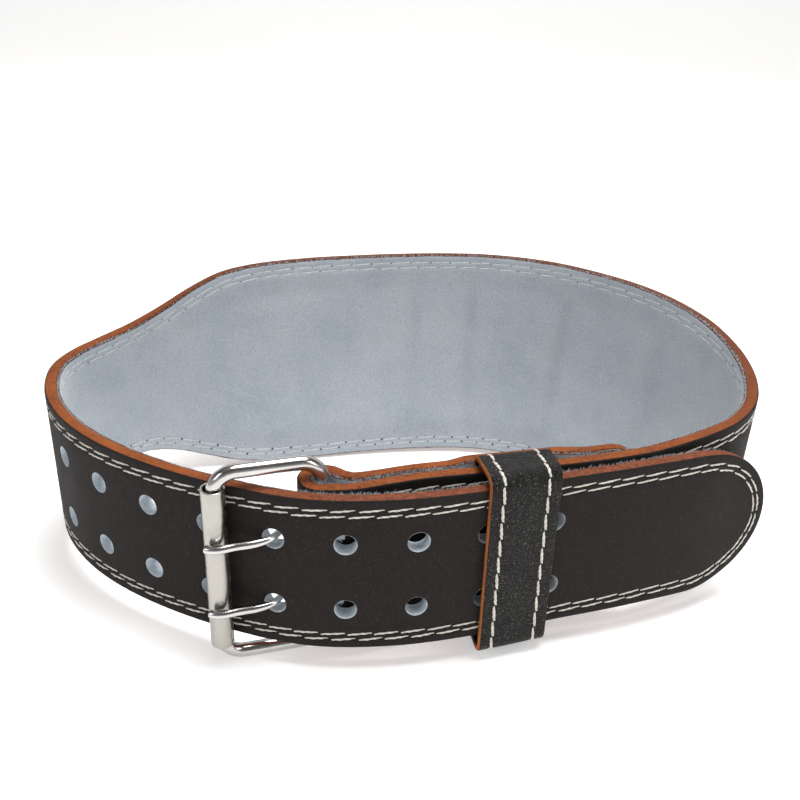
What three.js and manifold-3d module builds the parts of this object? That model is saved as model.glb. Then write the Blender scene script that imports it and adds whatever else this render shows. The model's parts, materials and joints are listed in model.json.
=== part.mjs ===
// A fastened leather weightlifting belt with a wide back, a roller buckle and a leather keeper.
// Units are millimetres and +Z is up. The belt's front faces -Y and the wearer's left is at +X.
// The belt is laid out about its own middle height first, and is then turned and lowered until
// it rests on its wide back and its buckle, as it does when it is put down on a table.

import * as THREE from 'three';
import { mergeVertices } from 'three/addons/utils/BufferGeometryUtils.js';
import { ConvexHull } from 'three/addons/math/ConvexHull.js';
import Module from 'manifold-3d';

// Closed belt
const LOOP_WIDTH = 291.7;        // outside, side to side
const LOOP_DEPTH = 188;          // outside, front to back
const STRAP_WIDTH = 63.5;        // front strap
const BACK_WIDTH = 101.6;        // support panel at the wearer's back
const BACK_LEAN = 11;            // degrees that the back panel leans outward at the top
const LEATHER = 4.6;             // outer leather
const LINING = 0.9;              // suede
const CLEARANCE = 0.3;           // between pieces that touch

// Tongue
const TIP_LENGTH = 40;           // rounded end, along the strap
const TIP_DROOP = 7.5;           // how far the free end hangs below the strap's middle
const DROOP_LENGTH = 80;         // stretch of the tongue that droops
const BOW = 6;                   // widest gap, where the tongue bows out ahead of the buckle

// Punched holes
const HOLE_DIAMETER = 8;
const HOLE_PITCH = 25.4;
const HOLE_ROW_SPACING = 28;
const HOLE_COLUMNS = 9;
const FIRST_HOLE = 102;          // from the tip to the first column
const PRONG_COLUMN = 5;          // the column that the prongs are in, counted from the tip

// Buckle
const WIRE = 5.4;                // frame wire's diameter
const BUCKLE_HEIGHT = 83.4;      // outside, along the bars
const BUCKLE_CORNER = 8;         // bend radius of the wire's middle
const BUCKLE_DROP = 0.3;         // the frame and roller hang this much low on the strap
const HEEL_AHEAD = 17;           // from the prong column forward to the fold round the heel bar
const ROLLER_BEHIND = 19.3;      // from the prong column back to the roller
const ROLLER_DIAMETER = 8.5;
const ROLLER_WALL = 0.8;
const ROLLER_LENGTH = 67;
const PRONG = 3.2;               // prong wire's diameter
const PRONG_SAG = 2.4;           // how far a prong's point lies below its eye
const EYE_OPENING = 150;         // degrees round the heel bar that a prong's eye leaves open
const EYE_START = 50;            // degrees from the line to the roller bar to the eye's end
const SLOT_MARGIN = 0.6;         // round each prong where it passes through the fold

// Folded-back end of the strap
const FOLDED_LENGTH = 123;       // from the heel bar to the sewn-down end
const FOLDED_CORNER = 14;
const FOLD_TAPER = 24;           // stretch in which the two layers close up behind the heel bar
const LAYER_GAP = 0.4;           // between the two layers where they lie together
const SKIVED = 1.2;              // pared off the folded end's leather

// Keeper loop
const KEEPER_WIDTH = 26.8;       // along the strap
const KEEPER_LEATHER = 2.2;
const KEEPER_HEIGHT = 77.5;      // outside
const KEEPER_DROP = 1.2;
const KEEPER_CORNER = 5;         // outside corner radius
const KEEPER_FROM_TIP = 102.2;   // to the keeper's edge on the tongue's free side

// Densities in grams per cubic millimetre, for the balance point
const DENSITY = { leather: 0.95e-3, suede: 0.5e-3, steel: 7.85e-3 };

// Mesh fineness
const STRAP_STEP = 9;
const TIP_STEPS = 8;
const TIP_START = 0.6;           // of a step, from the tip's end to its first section
const FOLD_STEPS = 12;
const CORNER_STEPS = 4;
const WIRE_SIDES = 12;
const WIRE_STEPS = 6;            // in each bend of the buckle's frame
const PRONG_SIDES = 10;
const PRONG_STEPS = 26;
const EYE_STEPS = 7;
const ROLLER_SIDES = 28;
const HOLE_SIDES = 14;
const KEEPER_STATIONS = 4;

// Values that follow
const THICK = LEATHER + CLEARANCE + LINING;
const FOLD_RADIUS = WIRE / 2 + CLEARANCE + THICK;
const PRONG_HOLE = FIRST_HOLE + (PRONG_COLUMN - 1) * HOLE_PITCH;
const HEEL = PRONG_HOLE - HEEL_AHEAD;
const ROLLER = PRONG_HOLE + ROLLER_BEHIND;

// Plan of the outer leather face, from the tip along the front, the left side, the back and the
// right side to where the strap goes under the tongue. Columns: sideways share of half the
// loop's width, front-to-back share of half its depth, and how far the strap has widened
// from its front width (0) to its back width (1).
const PLAN = [
  // x, y, wide
  [1.017, -0.351, 0],
  [0.912, -0.455, 0],
  [0.811, -0.556, 0],
  [0.617, -0.695, 0],
  [0.411, -0.803, 0],
  [0.206, -0.911, 0],
  [0.000, -0.986, 0],
  [-0.206, -0.999, 0],
  [-0.411, -0.920, 0],
  [-0.617, -0.782, 0],
  [-0.771, -0.628, 0],
  [-0.878, -0.467, 0],
  [-0.953, -0.290, 0],
  [-0.992, -0.115, 0],
  [-1.000, 0.030, 0],
  [-0.974, 0.180, 0],
  [-0.918, 0.335, 0],
  [-0.850, 0.470, 0.06],
  [-0.767, 0.575, 0.27],
  [-0.678, 0.656, 0.57],
  [-0.585, 0.722, 0.83],
  [-0.480, 0.782, 0.95],
  [-0.309, 0.862, 1],
  [-0.150, 0.925, 1],
  [0.000, 0.970, 1],
  [0.140, 0.996, 1],
  [0.280, 0.998, 1],
  [0.466, 0.926, 1],
  [0.609, 0.792, 1],
  [0.732, 0.618, 1],
  [0.828, 0.440, 0.94],
  [0.905, 0.290, 0.79],
  [0.967, 0.145, 0.53],
  [0.996, -0.005, 0.28],
  [0.985, -0.150, 0.10],
  [0.932, -0.283, 0],
  [0.846, -0.405, 0],
];
const TONGUE_ROWS = 12;          // rows of PLAN that the tongue and the buckle lie on

// Gap between the tongue and the strap under it. Columns: share of the distance from the tip
// to the heel bar, and share of the bow.
const UNDER_TONGUE = [
  // at, bow
  [0.30, 0.25],
  [0.36, 0.27],
  [0.44, 0.33],
  [0.524, 0.45],
  [0.604, 0.66],
  [0.695, 0.92],
  [0.80, 1],
  [0.88, 0.62],
  [0.94, 0.18],
  [1, 0],
];

// A prong's line from its eye to its point. Columns: what the place is measured from, and how
// far it is along the buckle and outward from there, as shares of that seat's size.
const PRONG_LINE = [
  // from, along, outward
  ['heelBar', 1.6, -0.75],
  ['holeInside', -1.2, -0.8],
  ['holeInside', -0.2, 0.1],
  ['holeOutside', 0.45, -0.15],
  ['holeOutside', 1.75, 0.15],
  ['roller', -0.9, 1.1],
  ['roller', 0, 1.07],
  ['roller', 0.5, 0.9],
  ['roller', 0.73, 0.73],
];

const wasm = await Module();
wasm.setup();

const leftOf = (direction) => new THREE.Vector2(-direction.y, direction.x);

// A plan curve with lookups by the distance along it. Each place has a point and an outward
// normal, which is on the left of the direction of travel.
class Route {
  constructor(points, samplesPerSpan = 24) {
    const curve = new THREE.CatmullRomCurve3(points, false, 'centripetal');
    this.points = curve.getPoints(samplesPerSpan * (points.length - 1));
    this.measure();
  }

  measure() {
    this.distances = [0];
    for (let i = 1; i < this.points.length; i++) {
      const [a, b] = [this.points[i - 1], this.points[i]];
      this.distances.push(this.distances[i - 1] + Math.hypot(b.x - a.x, b.y - a.y));
    }
    this.length = this.distances.at(-1);
  }

  lookup(distance) {
    let i = this.distances.findIndex((d) => d > distance);
    if (i < 0) i = this.distances.length - 1;
    i = Math.max(i, 1);
    const share = (distance - this.distances[i - 1]) / (this.distances[i] - this.distances[i - 1]);
    return new THREE.Vector3().lerpVectors(this.points[i - 1], this.points[i], share);
  }

  // The direction of travel is read over twice this reach
  at(distance, reach = 0.5) {
    const [a, b] = [this.lookup(distance - reach), this.lookup(distance + reach)];
    const direction = new THREE.Vector2(b.x - a.x, b.y - a.y).normalize();
    const here = this.lookup(distance);
    return { point: new THREE.Vector2(here.x, here.y), normal: leftOf(direction), wide: here.z };
  }
}

// Distances from one place to another in equal steps no longer than the one given
function spread(from, to, step) {
  const count = Math.max(1, Math.ceil((to - from) / step));
  return Array.from({ length: count }, (_, i) => from + (to - from) * i / count);
}

const smooth = THREE.MathUtils.smoothstep;

// Reads a two-column table at a place between its rows
function readTable(table, at) {
  if (at <= table[0][0]) return table[0][1];
  const next = table.findIndex((row) => row[0] >= at);
  if (next < 0) return table.at(-1)[1];
  const [low, high] = [table[next - 1], table[next]];
  return THREE.MathUtils.mapLinear(at, low[0], high[0], low[1], high[1]);
}

function planPoint([x, y, wide]) {
  return new THREE.Vector3(x * LOOP_WIDTH / 2, y * LOOP_DEPTH / 2, wide);
}

// The tongue's outer face, which the layers under it are measured from
const tongue = new Route(PLAN.slice(0, TONGUE_ROWS).map(planPoint));

// A point under the tongue: that far in from its outer face, at that distance from its tip
function underTongue(distance, depth) {
  const { point, normal } = tongue.at(distance);
  return point.clone().addScaledVector(normal, -depth);
}

function lowerStrapDepth(distance) {
  return THICK + CLEARANCE + BOW * readTable(UNDER_TONGUE, distance / HEEL);
}

const rollerBar = underTongue(ROLLER, -(ROLLER_DIAMETER / 2 + CLEARANCE));

// Points of the strap below the tongue, from the right side to the heel bar
function lowerStrapPoints() {
  return UNDER_TONGUE.map(([share]) => share * HEEL).map((distance) => {
    const place = underTongue(distance, lowerStrapDepth(distance));
    return new THREE.Vector3(place.x, place.y, 0);
  });
}

// The whole strap's outer face, from the tip to the fold
const strap = new Route([...PLAN.map(planPoint), ...lowerStrapPoints()]);
const FOLD_START = strap.length;
const { point: foldPoint, normal: foldNormal } = strap.at(FOLD_START);
const heelBar = foldPoint.clone().addScaledVector(foldNormal, -FOLD_RADIUS);
const FOLD_ARC = Math.PI * FOLD_RADIUS;
const FOLD_END = FOLD_START + FOLD_ARC;
const STRAP_END = FOLD_END + FOLDED_LENGTH;
const SLOT_REACH = PRONG + WIRE / 2 + 3 * CLEARANCE + SLOT_MARGIN;
const SLOT_START = FOLD_START - SLOT_REACH;
const SLOT_END = FOLD_END + SLOT_REACH;

// The folded-back end lies behind the lower strap. This is how far its outer face is in from the
// lower strap's, that far from the fold: the heel bar and the keeper hold the two layers apart.
function foldedEndDepth(fromFold) {
  const barOpening = 2 * (FOLD_RADIUS - THICK) - LAYER_GAP;
  const keeperOpening = KEEPER_LEATHER + CLEARANCE;
  const keeperFar = HEEL - KEEPER_FROM_TIP + KEEPER_LEATHER;
  const keeperNear = keeperFar - KEEPER_WIDTH - 2 * KEEPER_LEATHER;
  const opening = smooth(fromFold, FOLD_TAPER, keeperNear);
  const closing = smooth(fromFold, keeperFar, FOLDED_LENGTH);
  const atBar = barOpening * (1 - smooth(fromFold, 0, FOLD_TAPER));
  const atKeeper = keeperOpening * (opening - closing);
  return 2 * THICK + LAYER_GAP + Math.max(atBar, atKeeper);
}

const foldedEndRows = [0, ...spread(FOLD_TAPER, FOLDED_LENGTH + FOLD_TAPER, FOLD_TAPER / 3)];
const foldedEnd = new Route(foldedEndRows.map((fromFold) => {
  const { point, normal } = strap.at(FOLD_START - fromFold);
  point.addScaledVector(normal, -foldedEndDepth(fromFold));
  return new THREE.Vector3(point.x, point.y, 0);
}));

// A place on the strap anywhere from the tip, round the fold, to the sewn-down end
function strapPlace(distance) {
  if (distance <= FOLD_START) return strap.at(distance);
  if (distance <= FOLD_END) {
    const turn = (distance - FOLD_START) / FOLD_RADIUS;
    const normal = foldNormal.clone().rotateAround(new THREE.Vector2(), -turn);
    return { point: heelBar.clone().addScaledVector(normal, FOLD_RADIUS), normal, wide: 0 };
  }
  return foldedEnd.at(distance - FOLD_END);
}

// Half the strap's width at a place, with the round tip and the folded end's round corners
function halfWidth(distance, wide) {
  const half = THREE.MathUtils.lerp(STRAP_WIDTH, BACK_WIDTH, wide) / 2;
  if (distance < TIP_LENGTH) return half * Math.sqrt(1 - (1 - distance / TIP_LENGTH) ** 2);
  const left = STRAP_END - distance;
  if (left < FOLDED_CORNER) {
    const inset = FOLDED_CORNER - left;
    return half - FOLDED_CORNER + Math.sqrt(FOLDED_CORNER ** 2 - inset ** 2);
  }
  return half;
}

// How much of the folded end's outer face is pared off at a place
function skive(distance) {
  return SKIVED * smooth(distance, FOLD_END, FOLD_END + FOLD_TAPER);
}

function droop(distance) {
  return distance < DROOP_LENGTH ? TIP_DROOP * (1 - distance / DROOP_LENGTH) ** 2 : 0;
}

// Where the strap's cross-sections stand
function strapStations() {
  const quarter = Math.PI / 2;
  const tip = Array.from({ length: TIP_STEPS }, (_, i) => {
    return TIP_LENGTH * (1 - Math.cos(quarter * (i + TIP_START) / TIP_STEPS));
  });
  const corner = Array.from({ length: CORNER_STEPS + 1 }, (_, i) => {
    return STRAP_END - FOLDED_CORNER * (1 - Math.sin(quarter * i / CORNER_STEPS));
  });
  return [
    ...tip,
    ...spread(TIP_LENGTH, SLOT_START, STRAP_STEP),
    ...spread(SLOT_START, FOLD_START, STRAP_STEP / 2),
    ...spread(FOLD_START, FOLD_END, FOLD_ARC / FOLD_STEPS),
    ...spread(FOLD_END, SLOT_END, STRAP_STEP / 2),
    ...spread(SLOT_END, STRAP_END - FOLDED_CORNER, STRAP_STEP / 2),
    ...corner,
  ];
}

// Joins a row of equal rings of points into one closed body, with flat ends unless it goes round.
// The second half of each ring is split the other way, so that a twisted layer stays even.
function loft(rings, closed = false) {
  const sides = rings[0].length;
  const vertices = rings.flat().flatMap((p) => [p.x, p.y, p.z]);
  const faces = [];
  const spans = closed ? rings.length : rings.length - 1;
  for (let i = 0; i < spans; i++) {
    const here = i * sides;
    const next = ((i + 1) % rings.length) * sides;
    for (let j = 0; j < sides; j++) {
      const k = (j + 1) % sides;
      const [a, b, c, d] = [here + j, next + j, next + k, here + k];
      if (j < sides / 2) faces.push(a, b, c, a, c, d);
      else faces.push(a, b, d, b, c, d);
    }
  }
  if (!closed) {
    const last = (rings.length - 1) * sides;
    const half = sides / 2;
    for (let j = 0; j < half - 1; j++) {
      const [a, b, c, d] = [j, j + 1, sides - 2 - j, sides - 1 - j];
      faces.push(a, b, c, a, c, d);
      faces.push(last + a, last + c, last + b, last + a, last + d, last + c);
    }
  }
  const geometry = new THREE.BufferGeometry();
  geometry.setAttribute('position', new THREE.Float32BufferAttribute(vertices, 3));
  geometry.setIndex(faces);
  if (measure(geometry).volume < 0) geometry.setIndex(faces.reverse());
  return geometry;
}

// Volume of a closed geometry and its centre, from the tetrahedra that its faces make
function measure(geometry) {
  const corners = (geometry.index ? geometry.toNonIndexed() : geometry).attributes.position;
  const [a, b, c] = [new THREE.Vector3(), new THREE.Vector3(), new THREE.Vector3()];
  const centre = new THREE.Vector3();
  let volume = 0;
  for (let i = 0; i < corners.count; i += 3) {
    [a, b, c].forEach((corner, k) => corner.fromBufferAttribute(corners, i + k));
    const part = a.dot(b.clone().cross(c)) / 6;
    volume += part;
    centre.addScaledVector(a.add(b).add(c), part / 4);
  }
  return { volume, centre: centre.divideScalar(volume) };
}

// A layer of the strap between two depths from its outer face
function strapLayer(stations, outer, inner, inset = 0) {
  return loft(stations.map((distance) => {
    const { point, normal, wide } = strapPlace(distance);
    const half = halfWidth(distance, wide) - inset;
    const lean = THREE.MathUtils.degToRad(BACK_LEAN) * wide;
    const corner = (depth, side) => {
      const outward = side * half * Math.sin(lean) - depth * Math.cos(lean);
      const height = side * half * Math.cos(lean) + depth * Math.sin(lean);
      const at = point.clone().addScaledVector(normal, outward);
      return new THREE.Vector3(at.x, at.y, height - droop(distance));
    };
    const face = Math.max(outer, skive(distance));
    return [corner(face, -1), corner(inner, -1), corner(inner, 1), corner(face, 1)];
  }));
}

// Geometry to solid and back, for cutting
function toSolid(geometry) {
  const bare = geometry.clone();
  bare.deleteAttribute('normal');
  bare.deleteAttribute('uv');
  const merged = mergeVertices(bare, 1e-4);
  const vertProperties = new Float32Array(merged.attributes.position.array);
  const triVerts = new Uint32Array(merged.index.array);
  return new wasm.Manifold(new wasm.Mesh({ numProp: 3, vertProperties, triVerts }));
}

function toGeometry(solid) {
  const { vertProperties, triVerts } = solid.getMesh();
  const geometry = new THREE.BufferGeometry();
  geometry.setAttribute('position', new THREE.Float32BufferAttribute(vertProperties, 3));
  geometry.setIndex(Array.from(triVerts));
  return geometry;
}

// One punch through a layer at a hole column, square to the strap
function punch(distance, height, outer, inner) {
  const { point, normal } = strap.at(distance);
  const radius = HOLE_DIAMETER / 2;
  const geometry = new THREE.CylinderGeometry(radius, radius, inner - outer, HOLE_SIDES);
  const along = new THREE.Vector3(normal.x, normal.y, 0);
  const turn = new THREE.Quaternion().setFromUnitVectors(new THREE.Vector3(0, 1, 0), along);
  const centre = point.clone().addScaledVector(normal, -(outer + inner) / 2);
  return geometry.applyQuaternion(turn).translate(centre.x, centre.y, height);
}

const prongHeights = [1, -1].map((side) => side * HOLE_ROW_SPACING / 2 + BUCKLE_DROP);

// The slot in the fold that one prong's eye turns in
function foldSlot(height, outer, inner) {
  const inSlot = (distance) => distance >= SLOT_START && distance <= SLOT_END;
  const stations = strapStations().filter(inSlot);
  const half = PRONG / 2 + SLOT_MARGIN;
  return loft(stations.map((distance) => {
    const { point, normal } = strapPlace(distance);
    const out = point.clone().addScaledVector(normal, -outer);
    const back = point.clone().addScaledVector(normal, -inner);
    return [
      new THREE.Vector3(out.x, out.y, height - half),
      new THREE.Vector3(back.x, back.y, height - half),
      new THREE.Vector3(back.x, back.y, height + half),
      new THREE.Vector3(out.x, out.y, height + half),
    ];
  }));
}

// A strap layer with its punched holes and the two slots in its fold
function cutLayer(outer, inner, inset) {
  const margin = LINING;
  let solid = toSolid(strapLayer(strapStations(), outer, inner, inset));
  for (let column = 0; column < HOLE_COLUMNS; column++) {
    for (const side of [1, -1]) {
      const distance = FIRST_HOLE + column * HOLE_PITCH;
      const height = side * HOLE_ROW_SPACING / 2;
      solid = solid.subtract(toSolid(punch(distance, height, outer - margin, inner + margin)));
    }
  }
  for (const height of prongHeights) {
    solid = solid.subtract(toSolid(foldSlot(height, outer - margin, inner + margin)));
  }
  return toGeometry(solid);
}

// The roller: a short tube round the buckle's front bar
function rollerGeometry() {
  const outer = ROLLER_DIAMETER / 2;
  const inner = outer - ROLLER_WALL;
  const half = ROLLER_LENGTH / 2;
  const profile = [[inner, -half], [outer, -half], [outer, half], [inner, half], [inner, -half]];
  const points = profile.map(([radius, height]) => new THREE.Vector2(radius, height));
  return new THREE.LatheGeometry(points, ROLLER_SIDES).rotateX(Math.PI / 2);
}

// The closed wire frame, in a plane through both bars. Its long way is up and down.
function frameGeometry() {
  const across = rollerBar.clone().sub(heelBar);
  const width = across.length() / 2;
  const height = (BUCKLE_HEIGHT - WIRE) / 2;
  const corners = [[1, 1], [-1, 1], [-1, -1], [1, -1]];
  const quarter = Math.PI / 2;
  const direction = across.normalize();
  const middle = heelBar.clone().add(rollerBar).multiplyScalar(0.5);
  const rings = corners.flatMap(([x, z], corner) => Array.from({ length: WIRE_STEPS + 1 }, (_, i) => {
    const angle = quarter * (corner + i / WIRE_STEPS);
    const inX = x * (width - BUCKLE_CORNER);
    const inZ = z * (height - BUCKLE_CORNER);
    return Array.from({ length: WIRE_SIDES }, (_, j) => {
      const round = 2 * Math.PI * (j + 0.5) / WIRE_SIDES;
      const reach = BUCKLE_CORNER + Math.cos(round) * WIRE / 2;
      const sideways = Math.sin(round) * WIRE / 2;
      const u = inX + Math.cos(angle) * reach;
      return new THREE.Vector3(
        middle.x + direction.x * u - direction.y * sideways,
        middle.y + direction.y * u + direction.x * sideways,
        inZ + Math.sin(angle) * reach,
      );
    });
  }));
  return loft(rings, true);
}

// A prong: an eye round the heel bar, then out through the hole and over onto the roller
function prongGeometry() {
  const span = rollerBar.distanceTo(heelBar);
  const along = rollerBar.clone().sub(heelBar).normalize();
  const outward = leftOf(along);
  const seats = {
    heelBar: { centre: heelBar, size: WIRE / 2 + CLEARANCE + PRONG / 2 },
    holeInside: { centre: underTongue(PRONG_HOLE, THICK), size: PRONG },
    holeOutside: { centre: underTongue(PRONG_HOLE, 0), size: PRONG },
    roller: { centre: rollerBar, size: ROLLER_DIAMETER / 2 + CLEARANCE + PRONG / 2 },
  };
  const place = ([from, shareAlong, shareOutward]) => {
    const { centre, size } = seats[from];
    const point = centre.clone().addScaledVector(along, shareAlong * size);
    point.addScaledVector(outward, shareOutward * size);
    const reach = point.clone().sub(heelBar).dot(along) / span;
    return new THREE.Vector3(point.x, point.y, -PRONG_SAG * Math.max(reach, 0));
  };
  const eye = Array.from({ length: EYE_STEPS + 1 }, (_, i) => {
    const turn = EYE_START + (360 - EYE_OPENING) * i / EYE_STEPS;
    const angle = THREE.MathUtils.degToRad(turn);
    return ['heelBar', Math.cos(angle), Math.sin(angle)];
  });
  const points = [...eye, ...PRONG_LINE].map(place);
  const path = new THREE.CatmullRomCurve3(points, false, 'centripetal');
  const section = new THREE.Shape().absarc(0, 0, PRONG / 2, 0, 2 * Math.PI);
  return new THREE.ExtrudeGeometry(section, {
    steps: PRONG_STEPS,
    curveSegments: PRONG_SIDES / 2,
    bevelEnabled: false,
    extrudePath: path,
  });
}

// The keeper: a loop round the tongue and the lower strap, its back between the lower strap
// and the folded-back end
function keeperGeometry() {
  const stations = Array.from({ length: KEEPER_STATIONS }, (_, i) => {
    const distance = KEEPER_FROM_TIP + KEEPER_WIDTH * i / (KEEPER_STATIONS - 1);
    const { point, normal } = tongue.at(distance);
    const front = -(CLEARANCE + KEEPER_LEATHER);
    const back = lowerStrapDepth(distance) + THICK + CLEARANCE + KEEPER_LEATHER;
    return { point, normal, front, back };
  });
  const quarter = Math.PI / 2;
  const high = KEEPER_HEIGHT / 2;
  const turns = [];
  for (let corner = 0; corner < 4; corner++) {
    for (let i = 0; i <= CORNER_STEPS; i++) turns.push([corner, quarter * (corner + i / CORNER_STEPS)]);
  }
  const rings = turns.map(([corner, angle]) => {
    const side = (radius) => stations.map(({ point, normal, front, back }) => {
      const middle = (front + back) / 2;
      const x = (corner === 0 || corner === 3 ? 1 : -1) * ((back - front) / 2 - KEEPER_CORNER);
      const z = (corner < 2 ? 1 : -1) * (high - KEEPER_CORNER);
      const depth = middle + x + Math.cos(angle) * radius;
      const p = point.clone().addScaledVector(normal, -depth);
      return new THREE.Vector3(p.x, p.y, z + Math.sin(angle) * radius - KEEPER_DROP);
    });
    return [...side(KEEPER_CORNER), ...side(KEEPER_CORNER - KEEPER_LEATHER).reverse()];
  });
  return loft(rings, true);
}

const black = { color: 0x2b2725, roughness: 0.62, metalness: 0 };
const suede = { color: 0xa9b2ba, roughness: 0.95, metalness: 0 };
const nickel = { color: 0xc9c7c2, roughness: 0.22, metalness: 1 };

function piece(name, geometry, look, density) {
  const material = new THREE.MeshStandardMaterial(look);
  const mesh = new THREE.Mesh(geometry, material);
  mesh.name = name;
  mesh.userData.density = density;
  return mesh;
}

function buildBelt() {
  const belt = new THREE.Group();
  const leather = cutLayer(0, LEATHER, 0);
  const lining = cutLayer(LEATHER + CLEARANCE, THICK, 2 * CLEARANCE);
  belt.add(piece('belt_leather', leather, black, DENSITY.leather));
  belt.add(piece('suede_lining', lining, suede, DENSITY.suede));
  belt.add(piece('keeper_loop', keeperGeometry(), black, DENSITY.leather));
  const frame = piece('buckle_frame', frameGeometry(), nickel, DENSITY.steel);
  frame.position.z = -BUCKLE_DROP;
  const roller = piece('buckle_roller', rollerGeometry(), nickel, DENSITY.steel);
  roller.position.set(rollerBar.x, rollerBar.y, -BUCKLE_DROP);
  belt.add(frame, roller);
  ['prong_upper', 'prong_lower'].forEach((name, i) => {
    const prong = piece(name, prongGeometry(), nickel, DENSITY.steel);
    prong.position.z = prongHeights[i];
    belt.add(prong);
  });
  return belt;
}

// The balance point of the whole belt
function balancePoint(belt) {
  const balance = new THREE.Vector3();
  let mass = 0;
  for (const mesh of belt.children) {
    const { volume, centre } = measure(mesh.geometry);
    balance.addScaledVector(centre.add(mesh.position), volume * mesh.userData.density);
    mass += volume * mesh.userData.density;
  }
  return balance.divideScalar(mass);
}

// Where a mesh's corners are
function corners(mesh) {
  mesh.updateWorldMatrix(true, false);
  const { position } = mesh.geometry.attributes;
  return Array.from({ length: position.count }, (_, i) => {
    return new THREE.Vector3().fromBufferAttribute(position, i).applyMatrix4(mesh.matrixWorld);
  });
}

// Turns the belt onto the face of its hull that its balance point is above, and puts the middle
// of its underside at the origin
function settle(belt) {
  const hull = new ConvexHull().setFromPoints(belt.children.flatMap(corners));
  const drop = new THREE.Ray(balancePoint(belt), new THREE.Vector3(0, 0, -1));
  const under = hull.faces.filter((face) => face.normal.z < 0).find((face) => {
    const [a, b, c] = [face.edge, face.edge.next, face.edge.prev].map((edge) => edge.head().point);
    return drop.intersectTriangle(a, b, c, false, new THREE.Vector3()) !== null;
  });
  const stand = new THREE.Group();
  stand.add(belt);
  belt.quaternion.setFromUnitVectors(under.normal, new THREE.Vector3(0, 0, -1));
  const box = new THREE.Box3().setFromPoints(belt.children.flatMap(corners));
  const middle = box.getCenter(new THREE.Vector3());
  belt.position.set(-middle.x, -middle.y, -box.min.z);
  return stand;
}

export default settle(buildBelt());
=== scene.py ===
"""A fastened leather weightlifting belt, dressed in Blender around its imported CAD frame.

The belt is laid out in millimetres about its own middle height, as the part's source does, and
every mesh is then moved into the frame, in metres, by the matrix that place_belt() works out.
"""
import json
import math

import bmesh
import bpy
import numpy as np
from mathutils import Matrix, Vector, noise


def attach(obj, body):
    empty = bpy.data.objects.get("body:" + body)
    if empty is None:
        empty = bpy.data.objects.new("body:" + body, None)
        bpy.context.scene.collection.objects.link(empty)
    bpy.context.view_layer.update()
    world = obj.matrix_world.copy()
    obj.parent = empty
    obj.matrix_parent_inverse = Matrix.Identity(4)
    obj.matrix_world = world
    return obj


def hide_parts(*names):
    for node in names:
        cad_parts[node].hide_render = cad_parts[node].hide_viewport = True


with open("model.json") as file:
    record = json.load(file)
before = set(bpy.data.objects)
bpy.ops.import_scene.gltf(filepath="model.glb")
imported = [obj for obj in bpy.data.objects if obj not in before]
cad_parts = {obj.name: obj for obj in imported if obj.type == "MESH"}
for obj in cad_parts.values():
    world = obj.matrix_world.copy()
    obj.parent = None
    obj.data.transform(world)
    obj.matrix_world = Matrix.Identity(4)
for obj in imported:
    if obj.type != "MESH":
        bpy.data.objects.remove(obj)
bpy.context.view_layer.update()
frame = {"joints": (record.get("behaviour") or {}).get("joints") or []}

# Closed belt, in millimetres
LOOP_WIDTH = 291.7
LOOP_DEPTH = 188
STRAP_WIDTH = 63.5
BACK_WIDTH = 101.6
BACK_LEAN = math.radians(11)
LEATHER = 4.6
LINING = 0.9
CLEARANCE = 0.3
THICK = LEATHER + CLEARANCE + LINING
LAYER_SEAM = 0.05  # between the leather and the lining
LINING_INSET = 2 * CLEARANCE  # of the lining's cut edge from the leather's

# Tongue
TIP_LENGTH = 40
TIP_DROOP = 7.5  # how far the free tip hangs down
DROOP_LENGTH = 80
BOW = 6  # how far the tongue stands off the strap under it

# Punched holes
HOLE_RADIUS = 4
HOLE_PITCH = 25.4
HOLE_ROW_SPACING = 28
HOLE_COLUMNS = 9
FIRST_HOLE = 102  # from the tip
PRONG_COLUMN = 5
HOLE_SIDES = 40
HOLE_RAGGED = 0.012  # how unevenly a hole is cut, as a share of its radius
RIM = 0.16  # how far a hole's pressed edge is rounded
CUTTER_REACH = 1  # of a cutter out of the strap's faces
SLOT_STATIONS = 40

# Buckle
WIRE = 5.4
BUCKLE_HEIGHT = 83.4
BUCKLE_CORNER = 8
BUCKLE_DROP = 0.3
HEEL_AHEAD = 17  # from the prongs' holes towards the tip
ROLLER_BEHIND = 19.3  # from the prongs' holes away from the tip
ROLLER_DIAMETER = 8.5
ROLLER_WALL = 0.8
ROLLER_LENGTH = 67
PRONG = 3.2
PRONG_POINT = 2.5  # its diameter where it comes out of the hole
PRONG_SAG = 2.4  # how much lower it lies on the roller than in the hole
EYE_OPENING = 150  # degrees
EYE_START = 50  # degrees
EYE_POINTS = 8
SLOT_MARGIN = 0.6
SAG_FROM, SAG_TO = 0.3, 1.2  # shares of the way from the heel bar to the roller's bar
NECK_IN = (0.15, 0.4)  # where a prong gets thinner, in the same shares
NECK_OUT = (0.42, 0.74)  # where it gets thicker again
NECK_REGAINED = 0.9
PRONG_SAMPLES = 8
PRONG_TIP = 4  # stations over which each of its ends is rounded
PRONG_BLUNT = 0.02  # keeps some area on its very end
FRAME_STEPS = 12  # of a corner's bend
WIRE_SIDES = 32
ROLLER_ROUND = ROLLER_WALL * 0.3  # corner radius of the roller's ends
ROLLER_SEAM = math.radians(-12)  # where its seam is, about the bar
ROLLER_GAP = math.radians(9)  # how wide its seam stands open
ROLLER_LIP = 0.22  # how far the sheet's long edges curl inward
LIP_FADE = 40  # how fast the curl ends
LIP_WAVE = 9  # length of the curl's waves
ROLLER_TURNS = 72
ROLLER_ROWS = 60

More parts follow.
